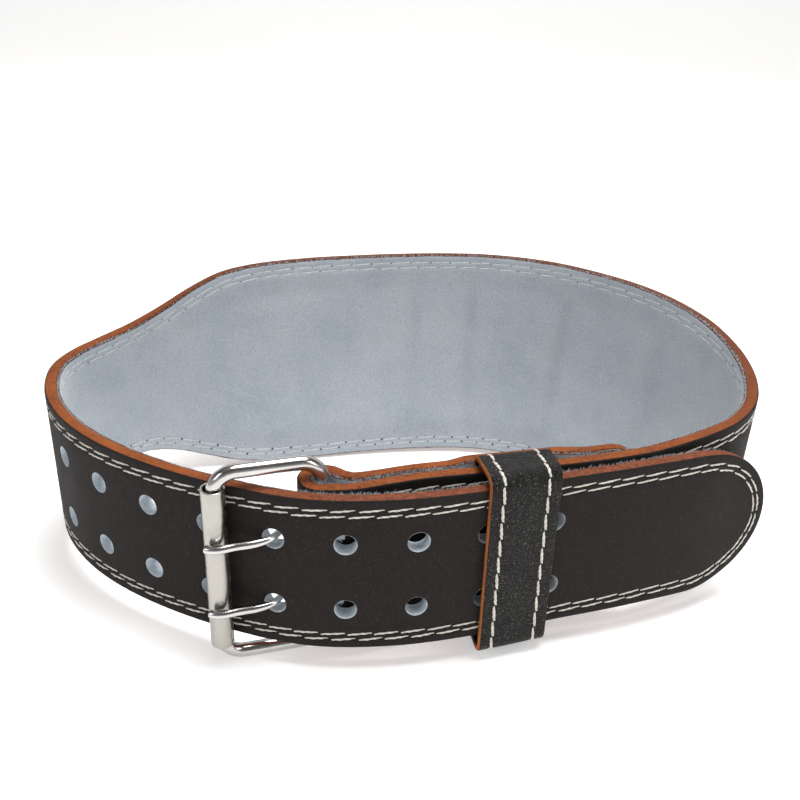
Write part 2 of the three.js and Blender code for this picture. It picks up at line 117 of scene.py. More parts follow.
# Folded-back end of the strap
FOLDED_LENGTH = 123
FOLDED_CORNER = 14
FOLD_TAPER = 24  # over this length its leather is pared thin
FOLD_MOUTH = 15  # how soon the folded end lies flat behind the buckle's bar
KEEPER_MOUTH = 10  # how far ahead of the keeper the two layers part
KEEPER_CLOSING = 16  # how far past the keeper they have come together again
FOLD_ROW = 4  # between the points that set its line
LAYER_GAP = 0.4
SKIVED = 1.2  # pared away
FOLD_RADIUS = WIRE / 2 + CLEARANCE + THICK

# Keeper loop
KEEPER_WIDTH = 26.8
KEEPER_LEATHER = 2.2
KEEPER_HEIGHT = 77.5
KEEPER_DROP = 1.2  # how far it hangs lower than the strap's middle
KEEPER_CORNER = 5
KEEPER_FROM_TIP = 102.2
KEEPER_SLOPE = 1.5  # how far its top and bottom close up towards the back
KEEPER_SKEW = (1.4, 3.3)  # how far its back edges are drawn towards the tip
KEEPER_ROUND = 0.45  # corner radius of its edges
KEEPER_COLUMNS = 25
KEEPER_CORNER_STEPS = 8
KEEPER_SIDE_STEPS = 26
PLAIN_TAN = 0.35  # metres along the strap, a place whose edge has the dye that the keeper gets

# Places along the strap
PRONG_HOLE = FIRST_HOLE + (PRONG_COLUMN - 1) * HOLE_PITCH
HEEL = PRONG_HOLE - HEEL_AHEAD
ROLLER = PRONG_HOLE + ROLLER_BEHIND

# Outer leather and sewing
SEAM_ROWS = (4.0, 6.4)  # from the strap's edge
STITCH_PITCH = 9.7
STITCH_LENGTH = 9.3
FIRST_STITCH = 0.3  # from the middle of the tip
STITCH_SLANT = 0.42  # how far a stitch's ends lie off the seam's line, outside
LINING_SLANT = 0.2  # the same on the lining
THREAD = 0.74
LINING_THREAD = THREAD * 0.8
HAND_WAVE = 0.12  # how far the outer leather waves between its seams
SEAM_GROOVE = 0.28
GROOVE_WIDTH = 0.55
GROOVE_RHYTHM = 0.2  # how much deeper at each needle's hole
STITCH_WOBBLE = 0.12
STITCH_STEPS = 20
STITCH_RISE = 0.62  # of its middle, as a share of the thread
STITCH_SINK = 0.55  # of its ends, as a share of the thread
THREAD_LOBE = 0.22  # how far its twisted strands stand out
NEEDLE_RADII = (0.25, 0.6)
NEEDLE_HEIGHTS = (-0.3, -0.05, 0.05)
NEEDLE_LIFT = 0.05
PROBE = 0.5  # step that finds which way a face looks
KEEPER_SEAM = 5  # from its edges
KEEPER_PITCH = 7.3
KEEPER_STITCH = 6.9
KEEPER_THREAD = 1.1
KEEPER_GROOVE = 0.3
KEEPER_GROOVE_WIDTH = 0.7
KEEPER_SUNK = 0.25  # how deep its thread lies
KEEPER_FIRST = 1.5  # where its seams start
KEEPER_STAGGER = 2  # how much later its second seam starts
KEEPER_SLANT = 0.3

# Suede lining
CREASES = ((5, 0.45), (34, 0.6), (80, 0.75), (119, 0.5))  # across the back: sideways place, depth
CREASE_WIDTH = 3.2
FIBRES = 9000  # that stick out of the lining's cut edges
FIBRE_ROOT = 0.25  # its depth in the cut edge
FIBRE_WIDTH = 0.09
FIBRE_LENGTHS = (0.6, 1.9)
FIBRE_LEAN = 0.5
FIBRE_RISE = 0.8  # share of its length that stands out of the edge
FIBRE_SIDES = (0.35, 0.65)  # shares on the lower and the upper edge
FIBRE_STOP = 12  # places at the strap's folded end that have none
LINING_FRAY = 0.35  # how unevenly the lining's edge is cut
LINING_PULL = 1.3  # how much more than the leather its seams pull it in
PADDING = 0.35
NAP = 0.09
LINING_WAVE = 0.22

# Mesh fineness
STEP = 2.5  # along the strap
FINE_STEP = 1.2  # round the fold
EDGE_COLUMNS = (1.2, 2.2, 3.1, 3.6, 4.0, 4.4, 4.9, 5.5, 6.0, 6.4, 6.8, 7.4, 8.6)  # from the edge
MIDDLE_COLUMNS = 18
EDGE_ROUND = 0.55  # corner radius of a burnished edge
CORNER_MIDDLE = 0.3  # how far in its middle point lies, as a share of the radius
SHARP = math.radians(50)  # an edge that bends more than this is shaded sharp
CUT_SHARP = math.radians(35)
ROLLER_SHARP = math.radians(40)
EDGE_CROWN = 0.12  # how far an edge bulges between its corners
ROUNDED_FACES = 2  # of an edge's faces, those round its outer corner keep the face's black

# Plan of the outer leather face. Columns: sideways share of half the loop's width, front-to-back
# share of half its depth, and how far the strap has widened from its front to its back width.
PLAN = [
    # x, y, wide
    (1.017, -0.351, 0),
    (0.912, -0.455, 0),
    (0.811, -0.556, 0),
    (0.617, -0.695, 0),
    (0.411, -0.803, 0),
    (0.206, -0.911, 0),
    (0.000, -0.986, 0),
    (-0.206, -0.999, 0),
    (-0.411, -0.920, 0),
    (-0.617, -0.782, 0),
    (-0.771, -0.628, 0),
    (-0.878, -0.467, 0),
    (-0.953, -0.290, 0),
    (-0.992, -0.115, 0),
    (-1.000, 0.030, 0),
    (-0.974, 0.180, 0),
    (-0.918, 0.335, 0),
    (-0.850, 0.470, 0.06),
    (-0.767, 0.575, 0.27),
    (-0.678, 0.656, 0.57),
    (-0.585, 0.722, 0.83),
    (-0.480, 0.782, 0.95),
    (-0.309, 0.862, 1),
    (-0.150, 0.925, 1),
    (0.000, 0.970, 1),
    (0.140, 0.996, 1),
    (0.280, 0.998, 1),
    (0.466, 0.926, 1),
    (0.609, 0.792, 1),
    (0.732, 0.618, 1),
    (0.828, 0.440, 0.94),
    (0.905, 0.290, 0.79),
    (0.967, 0.145, 0.53),
    (0.996, -0.005, 0.28),
    (0.985, -0.150, 0.10),
    (0.932, -0.283, 0),
    (0.846, -0.405, 0),
]
TONGUE_ROWS = 12  # rows of PLAN that the tongue and the buckle lie on

# Gap between the tongue and the strap under it. Columns: share of the distance from the tip to
# the heel bar, and share of the bow.
UNDER_TONGUE = [
    # at, bow
    (0.30, 0.25),
    (0.36, 0.27),
    (0.44, 0.33),
    (0.524, 0.45),
    (0.604, 0.66),
    (0.695, 0.92),
    (0.80, 1),
    (0.88, 0.62),
    (0.94, 0.18),
    (1, 0),
]

# A prong's line from its eye to its point. Columns: what the place is measured from, and how
# far it is along the buckle and outward from there, as shares of that seat's size.
PRONG_LINE = [
    # from, along, outward
    ("heelBar", 1.6, -0.75),
    ("holeInside", -1.2, -0.8),
    ("holeInside", -0.35, 0.1),
    ("holeOutside", 0.1, -0.15),
    ("holeOutside", 1.75, 0.15),
    ("roller", -0.9, 1.1),
    ("roller", 0, 1.07),
    ("roller", 0.5, 0.9),
    ("roller", 0.73, 0.73),
]

# The photo's camera, about the belt as it is laid out
CAMERA_BACK = 372.5  # from the loop's middle
CAMERA_UP = 218.34  # above the strap's middle height
CAMERA_PITCH = math.radians(27.94)
CAMERA_ROLL = math.radians(1.765)
CAMERA_LENS = 45

# Soft studio light, in the frame
LAMPS = [
    # name, place, size, watts
    ("overhead", (0.25, 0.0, 1.5), (0.9, 0.8), 26),
    ("left_front", (-1.1, -1.0, 0.9), (0.5, 0.7), 5),
    ("right_front", (1.2, -0.7, 0.8), (0.4, 0.8), 4),
]
LAMP_TARGET = (0, 0, 0.05)
SKY = [
    # sine of the height above the horizon, brightness
    (0.0, 0.75),
    (0.22, 0.6),
    (0.5, 0.22),
    (0.75, 0.16),
    (1.0, 0.5),
]
SKY_STRENGTH = 0.62


def left_of(direction):
    return np.array([-direction[1], direction[0]])


def smooth(x, low, high):
    share = min(max((x - low) / (high - low), 0), 1)
    return share * share * (3 - 2 * share)


def catmull_rom(points, samples):
    """A centripetal curve through the points, as many samples in each span."""
    points = np.array(points, float)
    first = 2 * points[0] - points[1]
    last = 2 * points[-1] - points[-2]
    rows = [first, *points, last]
    found = []
    for p0, p1, p2, p3 in zip(rows, rows[1:], rows[2:], rows[3:]):
        d0, d1, d2 = (np.sqrt(np.linalg.norm(b - a)) for a, b in ((p0, p1), (p1, p2), (p2, p3)))
        t1 = ((p1 - p0) / d0 - (p2 - p0) / (d0 + d1) + (p2 - p1) / d1) * d1
        t2 = ((p2 - p1) / d1 - (p3 - p1) / (d1 + d2) + (p3 - p2) / d2) * d1
        for i in range(samples):
            t = i / samples
            cubic = 2 * p1 - 2 * p2 + t1 + t2
            square = -3 * p1 + 3 * p2 - 2 * t1 - t2
            found.append(p1 + t1 * t + square * t * t + cubic * t ** 3)
    return np.array([*found, points[-1]])


class Route:
    """A plan curve with lookups by the distance along it."""

    def __init__(self, points, samples=24):
        self.points = catmull_rom(points, samples)
        steps = np.linalg.norm(np.diff(self.points[:, :2], axis=0), axis=1)
        self.distances = np.concatenate([[0], np.cumsum(steps)])
        self.length = self.distances[-1]

    def lookup(self, distance):
        i = int(np.clip(np.searchsorted(self.distances, distance, side="right"), 1, len(self.points) - 1))
        low, high = self.distances[i - 1], self.distances[i]
        share = (distance - low) / (high - low)
        return self.points[i - 1] + (self.points[i] - self.points[i - 1]) * share

    def at(self, distance, reach=0.5):
        ahead = self.lookup(distance + reach) - self.lookup(distance - reach)
        direction = ahead[:2] / np.linalg.norm(ahead[:2])
        here = self.lookup(distance)
        return here[:2], left_of(direction), here[2]


def plan_point(row):
    x, y, wide = row
    return (x * LOOP_WIDTH / 2, y * LOOP_DEPTH / 2, wide)


tongue = Route([plan_point(row) for row in PLAN[:TONGUE_ROWS]])


def under_tongue(distance, depth):
    point, normal, _ = tongue.at(distance)
    return point - normal * depth


def lower_strap_depth(distance):
    share = np.interp(distance / HEEL, *zip(*UNDER_TONGUE))
    return THICK + CLEARANCE + BOW * share


def lower_strap_points():
    places = [share * HEEL for share, _ in UNDER_TONGUE]
    return [(*under_tongue(d, lower_strap_depth(d)), 0) for d in places]


roller_bar = under_tongue(ROLLER, -(ROLLER_DIAMETER / 2 + CLEARANCE))
strap = Route([plan_point(row) for row in PLAN] + lower_strap_points())
FOLD_START = strap.length
fold_point, fold_normal, _ = strap.at(FOLD_START)
heel_bar = fold_point - fold_normal * FOLD_RADIUS
FOLD_ARC = math.pi * FOLD_RADIUS
FOLD_END = FOLD_START + FOLD_ARC
STRAP_END = FOLD_END + FOLDED_LENGTH
SLOT_REACH = PRONG + WIRE / 2 + 3 * CLEARANCE + SLOT_MARGIN
KEEPER_FAR = HEEL - KEEPER_FROM_TIP + KEEPER_LEATHER
KEEPER_NEAR = KEEPER_FAR - KEEPER_WIDTH - 2 * KEEPER_LEATHER
prong_heights = [side * HOLE_ROW_SPACING / 2 + BUCKLE_DROP for side in (1, -1)]


def folded_end_depth(from_fold):
    """How far the folded end's outer face is in from the lower strap's, that far from the fold."""
    bar_opening = 2 * (FOLD_RADIUS - THICK) - LAYER_GAP
    keeper_opening = KEEPER_LEATHER + CLEARANCE
    opening = smooth(from_fold, KEEPER_NEAR - KEEPER_MOUTH, KEEPER_NEAR)
    closing = smooth(from_fold, KEEPER_FAR, KEEPER_FAR + KEEPER_CLOSING)
    at_bar = bar_opening * (1 - smooth(from_fold, 0, FOLD_MOUTH))
    return 2 * THICK + LAYER_GAP + max(at_bar, keeper_opening * (opening - closing))


def folded_end_point(from_fold):
    point, normal, _ = strap.at(FOLD_START - from_fold)
    return (*(point - normal * folded_end_depth(from_fold)), 0)


folded_rows = np.arange(FOLD_ROW, FOLDED_LENGTH + FOLD_TAPER, FOLD_ROW)
folded_end = Route([folded_end_point(row) for row in (0, *folded_rows)])


def strap_place(distance):
    """A place anywhere on the strap: its point in plan, its outward normal and its widening."""
    if distance <= FOLD_START:
        return strap.at(distance)
    if distance <= FOLD_END:
        turn = -(distance - FOLD_START) / FOLD_RADIUS
        cos, sin = math.cos(turn), math.sin(turn)
        normal = np.array([
            fold_normal[0] * cos - fold_normal[1] * sin,
            fold_normal[0] * sin + fold_normal[1] * cos,
        ])
        return heel_bar + normal * FOLD_RADIUS, normal, 0
    return folded_end.at(distance - FOLD_END)


def half_width(distance):
    """Half the strap's width where it has no round end."""
    if distance <= TIP_LENGTH or distance > FOLD_START:
        return STRAP_WIDTH / 2
    wide = strap.lookup(distance)[2]
    return (STRAP_WIDTH + (BACK_WIDTH - STRAP_WIDTH) * wide) / 2


def folded_half(distance):
    """Half the folded end's width, with its round corners."""
    inset = FOLDED_CORNER - (STRAP_END - distance)
    if inset <= 0:
        return STRAP_WIDTH / 2
    inset = min(inset, FOLDED_CORNER)
    return STRAP_WIDTH / 2 - FOLDED_CORNER + math.sqrt(FOLDED_CORNER ** 2 - inset ** 2)


def droop(distance):
    return TIP_DROOP * max(1 - distance / DROOP_LENGTH, 0) ** 2


def skive(distance):
    return SKIVED * smooth(distance, FOLD_END, FOLD_END + FOLD_TAPER)


def outline_places():
    """Places along the strap's edge: distance, half width there, and the edge's own outward
    normal, along the strap and across it."""
    half = STRAP_WIDTH / 2
    places = []
    for turn in np.linspace(0, math.pi / 2, 25)[:-1]:
        slope = np.array([-math.cos(turn) / TIP_LENGTH, math.sin(turn) / half])
        slope /= np.linalg.norm(slope)
        places.append((TIP_LENGTH * (1 - math.cos(turn)), half * math.sin(turn), *slope))
    stretches = [(TIP_LENGTH, FOLD_START, STEP), (FOLD_START, FOLD_END, FINE_STEP)]
    stretches.append((FOLD_END, STRAP_END - FOLDED_CORNER, STEP))
    for low, high, step in stretches:
        for distance in np.linspace(low, high, math.ceil((high - low) / step), endpoint=False):
            rise = half_width(distance + 1) - half_width(distance - 1)
            slope = np.array([-rise / 2, 1])
            slope /= np.linalg.norm(slope)
            places.append((distance, half_width(distance), *slope))
    for turn in np.linspace(0, math.pi / 2, 9):
        distance = STRAP_END - FOLDED_CORNER * (1 - math.sin(turn))
        places.append((distance, folded_half(distance), 0, 1))
    return places


strap_outline = outline_places()


def surface(distance, across, depth):
    """A point of the strap that far along, up from its middle and in from its outer face."""
    point, normal, wide = strap_place(distance)
    lean = BACK_LEAN * wide
    outward = across * math.sin(lean) - depth * math.cos(lean)
    height = across * math.cos(lean) + depth * math.sin(lean)
    x, y = point + normal * outward
    return Vector((x, y, height - droop(distance)))


def groove(edge_distance, distance):
    """How deep the sewing pulls a face in, deepest at the needle's holes."""
    pull = sum(math.exp(-((edge_distance - row) / GROOVE_WIDTH) ** 2) for row in SEAM_ROWS)
    rhythm = 1 - GROOVE_RHYTHM + GROOVE_RHYTHM * math.cos(2 * math.pi * distance / STITCH_PITCH)
    return SEAM_GROOVE * pull * rhythm


def ripple(distance, across, length, width, seed):
    """Smooth noise over the strap, from -1 to 1, in waves of about that length and width."""
    return noise.noise(Vector((distance / length, across / width, seed)))


def outer_relief(distance, across, edge_distance):
    """Depth of the outer leather face's relief at a place: sewing and slow hand-worked waves."""
    return groove(edge_distance, distance) + HAND_WAVE * ripple(distance, across, 45, 30, 0.5)


def no_relief(distance, across, edge_distance):
    """For the faces that the two layers turn towards each other."""
    return 0


def crease_depth(point):
    """How deep the creases across the back press into the lining there."""
    depths = [depth * math.exp(-((point[0] - x) / CREASE_WIDTH) ** 2) for x, depth in CREASES]
    return sum(depths) * (point[1] > 0)


def lining_shade(distance, across, edge_distance):
    """Painted shade on the suede: how dark it is painted in its creases, and in the dip between its seams
    and the padding.
    """
    point, _, wide = strap_place(distance)
    uneven = 0.5 + 0.5 * ripple(distance, across, 14, 14, 9)
    dip = smooth(edge_distance, 6, 10) * (1 - smooth(edge_distance, 12, 19))
    faded = 0.3 + 0.7 * smooth(across, -35, 20)
    crease = crease_depth(point) * smooth(edge_distance, 13, 19) * faded
    return wide * (0.32 * dip * uneven + 0.36 * crease * (0.5 + uneven))


def lining_relief(distance, across, edge_distance):
    """How far the suede's face stands proud: padded between its seams, creased across the back."""
    point, _, wide = strap_place(distance)
    padding = PADDING * wide * smooth(edge_distance, 12, 18)
    nap = NAP * ripple(distance, across, 2.1, 2.1, 7)
    waves = LINING_WAVE * ripple(distance, across, 16, 60, 3)
    creases = crease_depth(point) * wide * smooth(edge_distance, 8, 16)
    pull = LINING_PULL * groove(edge_distance, distance)
    return padding + nap + waves * (0.4 + wide) - creases - pull


def outer_depth(distance, across, edge_distance):
    """Depth of the strap's outer face, where it is pared thin too."""
    return skive(distance) + outer_relief(distance, across, edge_distance)


def inner_depth(distance, across, edge_distance):
    """Depth of the strap's suede face."""
    return THICK + lining_relief(distance, across, edge_distance)


def place_belt():
    """The matrix from the belt as it is laid out, in millimetres, to the frame, in metres."""
    joint = frame["joints"][0]
    turn = Vector((0, 0, 1)).rotation_difference(Vector(joint["axis"])).to_matrix().to_4x4()
    scale = Matrix.Diagonal((0.001, 0.001, 0.001, 1))
    bar = Vector((*roller_bar, -BUCKLE_DROP))
    moved = turn @ scale @ bar
    return Matrix.Translation(Vector(joint["pos_m"]) - moved) @ turn @ scale


TO_FRAME = place_belt()


def linked_object(name, data):
    thing = bpy.data.objects.new(name, data)
    bpy.context.scene.collection.objects.link(thing)
    return thing


def new_piece(name, vertices, faces, materials, indices=None, sharp=SHARP):
    """A smooth-shaded mesh object in the frame from points in the belt's millimetres."""
    mesh = bpy.data.meshes.new(name)
    mesh.from_pydata([TO_FRAME @ Vector(v) for v in vertices], [], faces)
    for material in materials:
        mesh.materials.append(material)
    if indices is not None:
        mesh.polygons.foreach_set("material_index", indices)
    mesh.polygons.foreach_set("use_smooth", [True] * len(mesh.polygons))
    mesh.update()
    mesh.set_sharp_from_angle(angle=sharp)
    return linked_object(name, mesh)


def float_layer(piece, name, values):
    layer = piece.data.attributes.new(name, "FLOAT", "POINT")
    layer.data.foreach_set("value", np.array(values, np.float32))


def tidy_mesh(piece):
    """Merges points that coincide, drops faces without area and turns all faces outward."""
    work = bmesh.new()
    work.from_mesh(piece.data)
    bmesh.ops.remove_doubles(work, verts=work.verts, dist=1e-6)
    bmesh.ops.dissolve_degenerate(work, dist=1e-7, edges=work.edges)
    bmesh.ops.recalc_face_normals(work, faces=work.faces)
    work.to_mesh(piece.data)
    work.free()


def ring_faces(rings, sides, closed=False):
    """Quads between rings of points, with flat ends unless the row of rings goes round."""
    faces = []
    for i in range(rings if closed else rings - 1):
        here, after = i * sides, (i + 1) % rings * sides
        for j in range(sides):
            k = (j + 1) % sides
            faces.append((here + j, here + k, after + k, after + j))
    if not closed:
        faces.append(tuple(range(sides))[::-1])
        faces.append(tuple((rings - 1) * sides + j for j in range(sides)))
    return faces


def layer_profile(top, bottom, rounding):
    """An edge's points from the outer face to the inner one, as (inset, depth)."""
    eased = rounding * CORNER_MIDDLE
    return [
        (rounding, top),
        (eased, top + eased),
        (0, top + rounding),
        (-EDGE_CROWN, (top + bottom) / 2),
        (0, bottom - rounding),
        (eased, bottom - eased),
        (rounding, bottom),
    ]


def strap_layer(name, outer, inner, inset, relief_out, relief_in, materials, ragged=0, shade=None):
    """One layer of the whole strap, from the depth outer to the depth inner.

    The first of its materials is for its faces, and the last is for its edges. The reliefs are
    added to its faces' depths, and ragged is how unevenly its edge is cut.
    """
    vertices, along_layer, shade_layer = [], [], []
    for distance, half, slope_along, slope_across in strap_outline:
        top = max(outer, skive(distance))
        profile = layer_profile(top, inner, min(EDGE_ROUND, (inner - top) / 3))

        def rim(inset_here, depth, side):
            fray = ragged * slope_across * noise.noise(Vector((distance / 1.1, side * 5, depth)))
            shift = inset + inset_here + fray
            return distance - slope_along * shift, side * (half - slope_across * shift), depth, shift

        def columns(face_depth, relief):
            high = [rim(e, face_depth, 1) for e in EDGE_COLUMNS]
            low = [rim(e, face_depth, -1) for e in EDGE_COLUMNS]
            last = high[-1]
            middles = []
            for i in range(1, MIDDLE_COLUMNS):
                across = last[1] * (1 - 2 * i / MIDDLE_COLUMNS)
                from_edge = EDGE_COLUMNS[-1] + last[1] - abs(across)
                middles.append((last[0], across, face_depth, from_edge))
            row = high + middles + low[::-1]
            return [(d, a, depth + relief(d, a, e), e) for d, a, depth, e in row]

        ring = [rim(e, depth, 1) for e, depth in reversed(profile)]
        ring += columns(top, relief_out)
        ring += [rim(e, depth, -1) for e, depth in profile]
        ring += columns(inner, relief_in)[::-1]
        for d, across, depth, from_edge in ring:
            vertices.append(surface(max(d, 0), across, depth))
            along_layer.append(d / 1000)
            if shade:
                shade_layer.append(shade(d, across, from_edge))
    rings = len(strap_outline)
    sides = len(vertices) // rings
    rim_points = len(layer_profile(outer, inner, EDGE_ROUND))
    face_points = 2 * len(EDGE_COLUMNS) + MIDDLE_COLUMNS - 1
    faces = ring_faces(rings, sides)[:-2]
    faces.append(tuple((rings - 1) * sides + j for j in range(sides)))
    upper_rim = range(rim_points - 1 - ROUNDED_FACES)
    lower_start = rim_points + face_points
    lower_rim = range(lower_start + ROUNDED_FACES, lower_start + rim_points - 1)
    in_rim = [j in upper_rim or j in lower_rim for j in range(sides)]
    rim_index = len(materials) - 1
    indices = [rim_index * in_rim[i % sides] for i in range(len(faces) - 1)] + [rim_index]
    piece = new_piece(name, vertices, faces, materials, indices)
    float_layer(piece, "along", along_layer)
    if shade:
        float_layer(piece, "shade", shade_layer)
    tidy_mesh(piece)
    return piece


def add_part(vertices, faces, part):
    """Adds a part's points and faces to those of a joined mesh."""
    start = len(vertices)
    vertices += part[0]
    faces += [tuple(start + k for k in face) for face in part[1]]


def hole_cutter(distance, height):
    """A punch with a flared end, which rounds the hole's outer rim."""
    point, normal, _ = strap.at(distance)
    tangent = np.array([normal[1], -normal[0]])
    profile = [
        (-CUTTER_REACH, HOLE_RADIUS + 2.5 * RIM),
        (0, HOLE_RADIUS + RIM),
        (RIM / 2, HOLE_RADIUS + RIM / 4),
        (1.5 * RIM, HOLE_RADIUS),
        (THICK + CUTTER_REACH, HOLE_RADIUS),
    ]
    vertices = []
    for depth, radius in profile:
        for j in range(HOLE_SIDES):
            angle = 2 * math.pi * j / HOLE_SIDES
            uneven = noise.noise(Vector((math.cos(angle) * 2, distance, height)))
            ragged = radius * (1 + HOLE_RAGGED * uneven)
            x, y = point - normal * depth + tangent * ragged * math.cos(angle)
            vertices.append((x, y, height + ragged * math.sin(angle) - droop(distance)))
    return vertices, ring_faces(len(profile), HOLE_SIDES)


def slot_cutter(height):
    """The slot in the fold that one prong's eye turns in."""
    half = PRONG / 2 + SLOT_MARGIN
    low, high = -CUTTER_REACH, THICK + CUTTER_REACH
    vertices = []
    places = np.linspace(FOLD_START - SLOT_REACH, FOLD_END + SLOT_REACH, SLOT_STATIONS)
    for distance in places:
        point, normal, _ = strap_place(distance)
        for depth, z in ((low, -half), (high, -half), (high, half), (low, half)):
            vertices.append((*(point - normal * depth), height + z))
    return vertices, ring_faces(len(places), 4)


def cutters(material):
    """All the punches and slots as one piece, which is taken out of both layers."""
    vertices, faces = [], []
    for column in range(HOLE_COLUMNS):
        for side in (1, -1):
            at = FIRST_HOLE + column * HOLE_PITCH
            add_part(vertices, faces, hole_cutter(at, side * HOLE_ROW_SPACING / 2))
    for height in prong_heights:
        add_part(vertices, faces, slot_cutter(height))
    cutter = new_piece("cutter", vertices, faces, [material])
    tidy_mesh(cutter)
    return cutter


def cut(piece, cutter):
    """Takes the cutter out of a piece; the cut faces keep the cutter's material."""
    modifier = piece.modifiers.new("cut", "BOOLEAN")
    modifier.object = cutter
    modifier.operation = "DIFFERENCE"
    modifier.solver = "MANIFOLD"
    modifier.material_mode = "TRANSFER"
    graph = bpy.context.evaluated_depsgraph_get()
    mesh = bpy.data.meshes.new_from_object(piece.evaluated_get(graph))
    piece.modifiers.clear()
    piece.data = mesh
    mesh.name = piece.name
    mesh.polygons.foreach_set("use_smooth", [True] * len(mesh.polygons))
    mesh.set_sharp_from_angle(angle=CUT_SHARP)


def tube(path, radii, sides=16, closed=False, twist=0, lobes=0):
    """Points and faces of a tube along a path. With lobes it has the section of laid thread."""
    path = [Vector(p) for p in path]
    count = len(path)
    vertices = []
    side_way = None
    for i, point in enumerate(path):
        before = path[i - 1] if closed or i else point
        after = path[(i + 1) % count] if closed or i < count - 1 else point
        ahead = (after - before).normalized()
        if side_way is None:
            side_way = ahead.orthogonal()
        side_way = (side_way - ahead * side_way.dot(ahead)).normalized()
        up = ahead.cross(side_way)
        for j in range(sides):
            angle = 2 * math.pi * j / sides
            lobe = 1 + THREAD_LOBE * math.cos(lobes * (angle + twist * i)) if lobes else 1
            reach = radii[i] * lobe
            vertices.append(point + (side_way * math.cos(angle) + up * math.sin(angle)) * reach)
    return vertices, ring_faces(count, sides, closed)


def stitch(place, start, length, slant, thread):
    """One stitch over a surface. place(along, off, lift) gives a point on and above a seam."""
    path, radii = [], []
    for i in range(STITCH_STEPS + 1):
        share = i / STITCH_STEPS
        arch = math.sin(math.pi * share) ** 0.3
        lift = thread * (STITCH_RISE * arch - STITCH_SINK)
        path.append(place(start + length * share, slant * (share - 0.5) * 2, lift))
        radii.append(thread / 2 * (0.8 + 0.2 * arch))
    return tube(path, radii, sides=6, twist=0.5, lobes=2)


def strap_edge_path(row, side):
    """Places along a seam, a row's distance in from the strap's edge.

    Columns: length so far, distance along the strap, place across it, and how far the edge's
    outward normal points across it.
    """
    found, length, previous = [], 0, None
    for distance, half, slope_along, slope_across in strap_outline:
        d, across = distance - slope_along * row, side * (half - slope_across * row)
        if d > STRAP_END - FOLDED_CORNER:
            break
        here = np.array([d, across])
        if previous is not None:
            length += np.linalg.norm(here - previous)
        found.append((length, d, across, slope_across))
        previous = here
    return np.array(found)


def seam(row, side, depth_at, sign, thread, lean):
    """The stitches of one row along one edge, on the outer (1) or the inner (-1) face.

    Also gives, for the needle's hole before each stitch, its place and the way out of the face.
    """
    path = strap_edge_path(row, side)
    vertices, faces, holes = [], [], []

    def place(length, off, lift):
        d, across, slope_across = (np.interp(length, path[:, 0], path[:, k]) for k in (1, 2, 3))
        across += side * off * slope_across
        return surface(d, across, depth_at(d, across, row) - sign * lift)

    start = FIRST_STITCH
    rng = np.random.default_rng(int(row * 10) + side + 7 * sign)
    while start + STITCH_PITCH < path[-1, 0]:
        wobble = rng.normal(0, STITCH_WOBBLE, 2)
        slant = lean * side * (1 + wobble[0])
        part = stitch(place, start + wobble[1], STITCH_LENGTH, slant, thread)
        add_part(vertices, faces, part)
        at = start - (STITCH_PITCH - STITCH_LENGTH) / 2
        here = place(at, 0, NEEDLE_LIFT)
        ahead = place(at + PROBE, 0, NEEDLE_LIFT) - here
        holes.append((here, ahead.cross(place(at, PROBE, NEEDLE_LIFT) - here)))
        start += STITCH_PITCH
    return (vertices, faces), holes


def sew_strap():
    """The seams on the strap's outer and inner faces, and the needle's holes in the lining."""
    outside, inside, pits = ([], []), ([], []), []
    for row in SEAM_ROWS:
        for side in (1, -1):
            part, _ = seam(row, side, outer_depth, 1, THREAD, -STITCH_SLANT)
            add_part(*outside, part)
            part, holes = seam(row, side, inner_depth, -1, LINING_THREAD, LINING_SLANT)
            add_part(*inside, part)
            pits += holes
    return outside, inside, pits


def needle_hole_shades(places, material):
    """Painted shade of the needle holes at the ends of the lining's stitches: small dark flat beads in
    the suede.
    """
    vertices, faces = [], []
    rng = np.random.default_rng(5)
    for point, out in places:
        out = out.normalized()
        radius = rng.uniform(*NEEDLE_RADII)
        path = [point + out * height for height in NEEDLE_HEIGHTS]
        add_part(vertices, faces, tube(path, (radius, radius, radius / 2), sides=8))
    return new_piece("needle_hole_shades", vertices, faces, [material])


def suede_fuzz(material):
    """Loose fibres along the lining's cut edges, each a thin spike."""
    vertices, faces = [], []
    rng = np.random.default_rng(11)
    places = strap_outline[:-FIBRE_STOP]
    root, width = LINING_INSET + FIBRE_ROOT, FIBRE_WIDTH
    spike_faces = ((0, 2, 1), (0, 1, 3), (1, 2, 3), (2, 0, 3))
    for _ in range(FIBRES):
        distance, half, slope_along, slope_across = places[rng.integers(len(places))]
        side = rng.choice((-1, 1), p=FIBRE_SIDES)
        d = distance + rng.uniform(0, STEP) - slope_along * root
        across = half - slope_across * root
        depth = rng.uniform(LEATHER + CLEARANCE, THICK)
        length, lean = rng.uniform(*FIBRE_LENGTHS), rng.normal(0, FIBRE_LEAN, 2)
        base = surface(d, side * across, depth)
        risen = side * (across + length * FIBRE_RISE)
        tip = surface(d + lean[0] * length, risen, depth + lean[1] * length / 2)
        shifts = ((width, 0, 0), (-width, width, 0), (0, -width, width))
        add_part(vertices, faces, ([base + Vector(shift) for shift in shifts] + [tip], spike_faces))
    return new_piece("suede_fibres", vertices, faces, [material])


